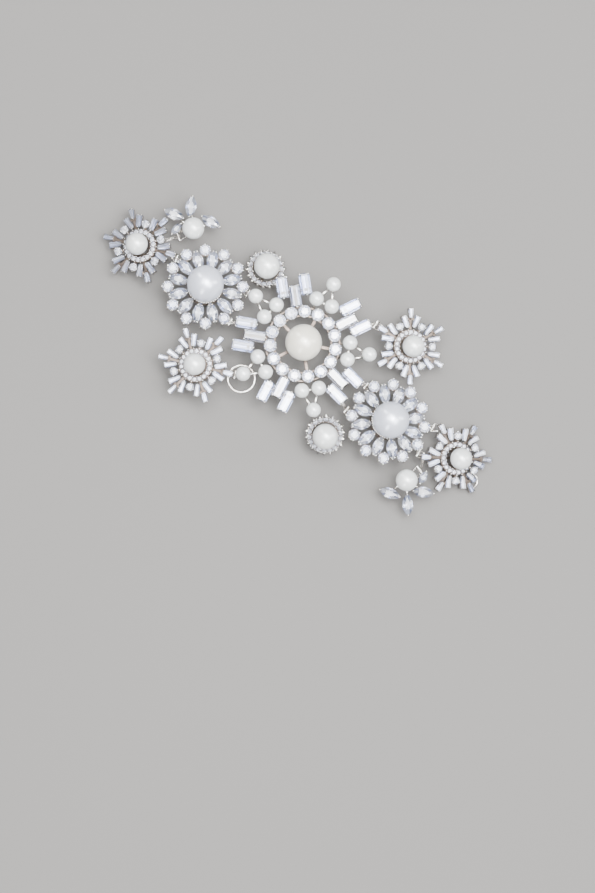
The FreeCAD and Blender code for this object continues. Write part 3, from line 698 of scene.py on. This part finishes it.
def flake_parts():
    metal, pave, rounds, bars = Build(), Build(), Build(), Build()
    metal.add(ring_plate(2.6, 4.75, 0.0, 0.95, 72, 0.12), slot=1)
    for k in range(18):
        m = spun(20 * k, at(3.9, 20 * k))
        set_stone(pave, brilliant(disc(1.25, 16), 1.5, 0.24, 0.55), 1.5, m)
        metal.add(band(disc(1.25, 18), 0.14, 0.02, 0.9, 1.40, 0.03), m)
        for r in (3.22, 4.62):
            bead_post(metal, at(r, 10 + 20 * k), 0.8, 1.7, 0.22)
    side, tip = (3.4, 1.75, 1.1), (2.7, 1.55, 1.0)
    for k in range(6):
        arm, b = spun(60 * k), 30 + 60 * k
        rows = ((side, 22, 6.75, 1.45), (side, -22, 6.75, -1.45), (tip, 0, 9.15, 0))
        for i, (size, twist, x, y) in enumerate(rows):
            tapered_bar(metal, bars, size, arm @ spun(twist, (x, y, 0)), (i + k) % 2)
        metal.add(plate(box_outline(4.4, 8.4, -0.4, 0.4), 0, 0.7), arm, 1)
        metal.add(plate(box_outline(7.2, 7.9, -1.8, 1.8), 0, 0.7), arm, 1)
        middle = at(6.2, b)
        m = spun(b, middle)
        metal.add(band(disc(2.2, 24), 0.3, 0.03, 0.0, 1.2, 0.05), m)
        metal.add(plate(box_outline(4.6, 5.3, -0.4, 0.4), 0, 0.8), spun(b), 1)
        set_stone(rounds, brilliant(disc(2.18, 16), 1.55, 0.4, 0.95), 1.55, m)
        point_claw(metal, 7.25, b, 1.7, 0.7, 0.35)
        for r, turn in ((5.1, 0), (6.7, 9.5), (6.7, -9.5)):
            claw_to(metal, at(r, b + turn), middle, 0.12, 1.82, 0.36)
    for k in range(3):
        metal.add(plate(box_outline(-3, 3, -0.35, 0.35), 0, 0.6), spun(60 * k), 1)
    peg_cup(metal, 6.0, 4.55, 1.7)
    pearl = Build().add(pearl_shape(6.0, 4.55), None, 0, True)
    return [(pave, "pave_stones", CLEAR_SET, "pave", "crystal"),
            (rounds, "round_stones", CLEAR_SET, "rounds", "crystal"),
            (bars, "tapered_stones", MIXED_SET, "baguettes", "crystal"),
            (metal, "casting", CASTING, "frame", "rhodium"),
            (pearl, "nacre_pearl", [WHITE], "pearl", "white_pearl")]


def halo_parts():
    metal, stones = Build(), Build()
    metal.add(ring_plate(3.3, 5.0, 0.0, 0.85, 72, 0.12), slot=1)
    for k in range(18):
        m = spun(20 * k, at(4.45, 20 * k))
        set_stone(stones, brilliant(disc(1.4, 16), 1.42, 0.27, 0.6), 1.42, m)
        metal.add(band(disc(1.4, 18), 0.14, 0.02, 0.8, 1.32, 0.03), m)
        point_claw(metal, 4.95, 20 * k, 1.75, 1.15, 0.8, 0.3)
        for r in (3.72, 4.95):
            bead_post(metal, at(r, 10 + 20 * k), 0.7, 1.6, 0.21)
    for k in range(2):
        metal.add(plate(box_outline(-3.5, 3.5, -0.4, 0.4), 0, 0.7), spun(90 * k), 1)
    peg_cup(metal, 7.0, 4.5, 1.8)
    pearl = Build().add(pearl_shape(7.0, 4.5), None, 0, True)
    return [(stones, "ring_stones", CLEAR_SET, "stones", "crystal"),
            (metal, "casting", CASTING, "frame", "rhodium"),
            (pearl, "nacre_pearl", [WHITE], "pearl", "white_pearl")]


def blossom_parts(leaves):
    metal, stones = Build(), Build()
    metal.add(ring_plate(1.5, 2.3, 0.0, 0.7, 40), slot=1)
    metal.add(ring_plate(0.3, 1.7, 0.0, 0.6, 32), slot=1)
    peg_cup(metal, 6.0, 4.2, 2.0)
    for n, (length, width, r, a, axis) in enumerate(leaves):
        m = spun(axis, at(r, a))
        metal.add(band(lens(length, width), 0.1 * width, 0.03, 0.0, 1.3), m)
        leaf = brilliant(lens(length - 0.04, width - 0.04), 1.7, 0.45, 1.1, 0.5)
        set_stone(stones, leaf, 1.7, m, n % 2)
        for end in (1, -1):
            tip = Vector((end * (length / 2 + 0.05), 0, 0))
            claw(metal, tip, 2.0, 0.5, Vector((-0.2 * end, 0, 0)), m)
        branch = [at(1.9, a, 0.35), at(r - 0.42 * width, a, 0.35)]
        metal.add(tube(branch, 0.32, 10), None, 0, True)
    pearl = Build().add(pearl_shape(6.0, 4.2), None, 0, True)
    return [(stones, "leaf_stones", MIXED_SET, "leaves", "crystal"),
            (metal, "casting", CASTING, "frame", "rhodium"),
            (pearl, "nacre_pearl", [WHITE], "pearl", "white_pearl")]


# ---------------------------------------------------------------- hinge bars, binding wire, pin loops
def tie_line(child):
    """Middles of a child's hinge bars, and the direction of the line that they lie on."""
    parent, ties = TIES[child]
    points = []
    for (x, y), drop, _, _ in ties:
        low = min(plane_z(parent, x, y), plane_z(child, x, y))
        points.append(Vector((x + MEDALLION.x, y + MEDALLION.y, low - drop)))
    if len(points) == 2:
        return points, (points[1] - points[0]).normalized()
    x, y = MOTIFS[child][:2]
    outward = Vector((x + MEDALLION.x - points[0].x, y + MEDALLION.y - points[0].y, 0))
    return points, UP.cross(outward).normalized()


def hinge_bars(child, metal):
    """Bars that the wire turns round, each on two legs from the child's casting."""
    points, axis = tie_line(child)
    flat = BAR_HALF - 0.25
    for point, (_, _, _, foot) in zip(points, TIES[child][1]):
        end = spot(child, *foot, FOOT_LEVEL)
        path = [end + axis * 0.75, point + axis * BAR_HALF, point + axis * flat,
                point - axis * flat, point - axis * BAR_HALF, end - axis * 0.75]
        metal.add(tube(smooth_path(path, 5), 0.24, 10), None, 0, True)


def wraps(child, wire):
    """Turns of thin wire round each hinge bar, carried on to the neighbour's casting."""
    points, axis = tie_line(child)
    turns, binding = 4 * TURN, 3 * TURN
    for n, (point, (_, _, foot, _)) in enumerate(zip(points, TIES[child][1])):
        end = spot(TIES[child][0], *foot, FOOT_LEVEL)
        run = end - point
        way = (run - axis * run.dot(axis)).normalized()
        other = axis.cross(way)
        path = [end + axis * 0.25]
        for k in range(turns + 1):
            t = 2 * pi * k / TURN
            rad = 0.53 + 0.02 * sin(3.1 * k + n)
            path.append(point + axis * (0.36 - 0.72 * k / turns)
                        + way * (rad * cos(t)) + other * (rad * sin(t)))
        path.append(end - axis * 0.25)
        wire.add(tube(path, 0.12, 8), None, 0, True)
        if run.length > 1.6:
            coil = []
            for k in range(binding + 1):
                t = 2 * pi * k / TURN
                c = point + way * 0.75 + (run - way * 0.75) * (0.25 + 0.5 * k / binding)
                coil.append(c + axis * (0.32 * cos(t)) + other * (0.24 * sin(t)))
            wire.add(tube(coil, 0.1, 6), None, 0, True)


def pin_loop(title):
    """Eye of soft wire on two soldered feet, each bound by three small hoops."""
    name, x, y, radius, local, feet = LOOPS[title]
    build = Build()
    eye = tube([at(radius, 360 * k / 64) for k in range(64)], 0.3, 14, closed=True)
    build.add(eye, Matrix.Translation(spot(name, x, y, local)) @ leaning(name), 0, True)
    for angle in feet:
        foot = at(radius, angle)
        low = spot(name, x + foot.x, y + foot.y, local)
        high = spot(name, x + foot.x, y + foot.y, 0.4)
        build.add(tube([low, high], 0.3, 12), None, 0, True)
        for shift in (-0.35, 0.0, 0.35):
            middle = low + at(shift, angle + 90)
            hoop = [middle + at(0.38 * cos(2 * pi * k / 16), angle, 0.38 * sin(2 * pi * k / 16))
                    for k in range(16)]
            build.add(tube(hoop, 0.1, 6, closed=True), None, 0, True)
    build.piece(title + "_wire", [WIRE], name, (title,), "wire")


# ---------------------------------------------------------------- assembly
def motifs():
    shared = {"daisy": daisy_parts(), "snowflake": flake_parts(), "halo": halo_parts()}
    for name in MOTIFS:
        if name == "medallion":
            continue
        rows = blossom_parts(LEAVES[name]) if name in LEAVES else shared[name.split("_")[-1]]
        for source, title, materials, node, slot in rows:
            build = Build().merge(source, placement(name))
            if node == "frame":
                hinge_bars(name, build)
            build.piece(name + "_" + title, materials, name, (name + "_" + node,), slot)


def ties():
    for parent in dict.fromkeys(row[0] for row in TIES.values()):
        title = parent.replace("_snowflake", "") + "_ties"
        wire = Build()
        for child in TIES:
            if TIES[child][0] == parent:
                wraps(child, wire)
        wire.piece(title + "_wire", [WIRE], parent, (title,), "wire")


# ---------------------------------------------------------------- stage, light, camera
def stage():
    mesh = bpy.data.meshes.new("floor")
    s = 1.2
    mesh.from_pydata([(-s, -s, 0), (s, -s, 0), (s, s, 0), (-s, s, 0)], [], [(0, 1, 2, 3)])
    floor = bpy.data.objects.new("floor", mesh)
    bpy.context.scene.collection.objects.link(floor)
    mat, nodes, links, shader = new_material("pale_floor")
    stops = [(0.3, (0.155, 0.149, 0.142, 1)), (0.7, (0.168, 0.161, 0.153, 1))]
    links.new(ramp(nodes, links, noise(nodes, links, 3.0, 2.0), stops), shader.inputs["Base Color"])
    shader.inputs["Roughness"].default_value = 0.7
    mesh.materials.append(mat)


def light(name, where, size, power, target=(0, 0, 0.01), colour=(1, 1, 1)):
    data = bpy.data.lights.new(name, "AREA")
    data.shape = "RECTANGLE"
    data.size, data.size_y = size
    data.energy = power
    data.color = colour
    obj = bpy.data.objects.new(name, data)
    bpy.context.scene.collection.objects.link(obj)
    obj.location = where
    obj.rotation_mode = "QUATERNION"
    obj.rotation_quaternion = (Vector(target) - Vector(where)).to_track_quat("-Z", "Y")


def world():
    """Dim surroundings in slightly warm bands from below to above, with a cooler zenith."""
    w = bpy.data.worlds.new("studio")
    bpy.context.scene.world = w
    w.use_nodes = True
    nodes, links = w.node_tree.nodes, w.node_tree.links
    nodes.clear()
    out = nodes.new("ShaderNodeOutputWorld")
    back = nodes.new("ShaderNodeBackground")
    links.new(back.outputs[0], out.inputs[0])
    where = nodes.new("ShaderNodeTexCoord")
    split = nodes.new("ShaderNodeSeparateXYZ")
    links.new(where.outputs["Generated"], split.inputs[0])
    bands = [(place, (tone, tone * 0.99, tone * 0.94, 1))
             for place, tone in ((0.22, 0.15), (0.45, 0.09), (0.62, 0.13), (0.80, 0.24))]
    stops = [(0.0, (0.06, 0.06, 0.065, 1))] + bands + [(1.0, (0.30, 0.31, 0.34, 1))]
    links.new(ramp(nodes, links, split.outputs[2], stops), back.inputs[0])
    back.inputs[1].default_value = 0.7


def camera():
    """Nearly straight above, with the row running down to the right, and room below it."""
    away, tall, sensor = 700.0, 244.0, 36.0     # distance, height of the view there, sensor height
    data = bpy.data.cameras.new("view")
    data.sensor_fit = "VERTICAL"
    data.sensor_height = sensor
    data.lens = sensor * away / tall
    data.clip_start, data.clip_end = 0.05, 10.0
    obj = bpy.data.objects.new("view", data)
    bpy.context.scene.collection.objects.link(obj)
    target = Vector((14.75, -21.37, 10.7))
    tilt = radians(4.5)
    back = Vector((0, -sin(tilt), cos(tilt)))
    right = Vector((0.8277, 0.5611, 0))
    right = (right - back * right.dot(back)).normalized()
    turn = Matrix((right, back.cross(right), back)).transposed().to_4x4()
    obj.matrix_world = Matrix.Translation((target + back * away) * MM) @ turn
    bpy.context.scene.camera = obj


round_ring()
baguettes()
trios()
centre()
motifs()
ties()
for title in LOOPS:
    pin_loop(title)
stage()
world()
light("wide_panel", (0.0, 0.0, 1.00), (1.50, 1.30), 8.0)
light("overhead", (0.19, 0.07, 0.92), (1.22, 0.58), 28.0, (0.19, 0.07, 0.0), (0.97, 0.985, 1.0))
light("key", (0.09, 0.10, 0.90), (0.24, 0.24), 7.0, (0.09, 0.10, 0.0))
for turn in range(3):
    light("strip_%d" % turn, tuple(at(0.75, 120 * turn + 40, 0.42)), (0.12, 0.50), 2.6)
camera()
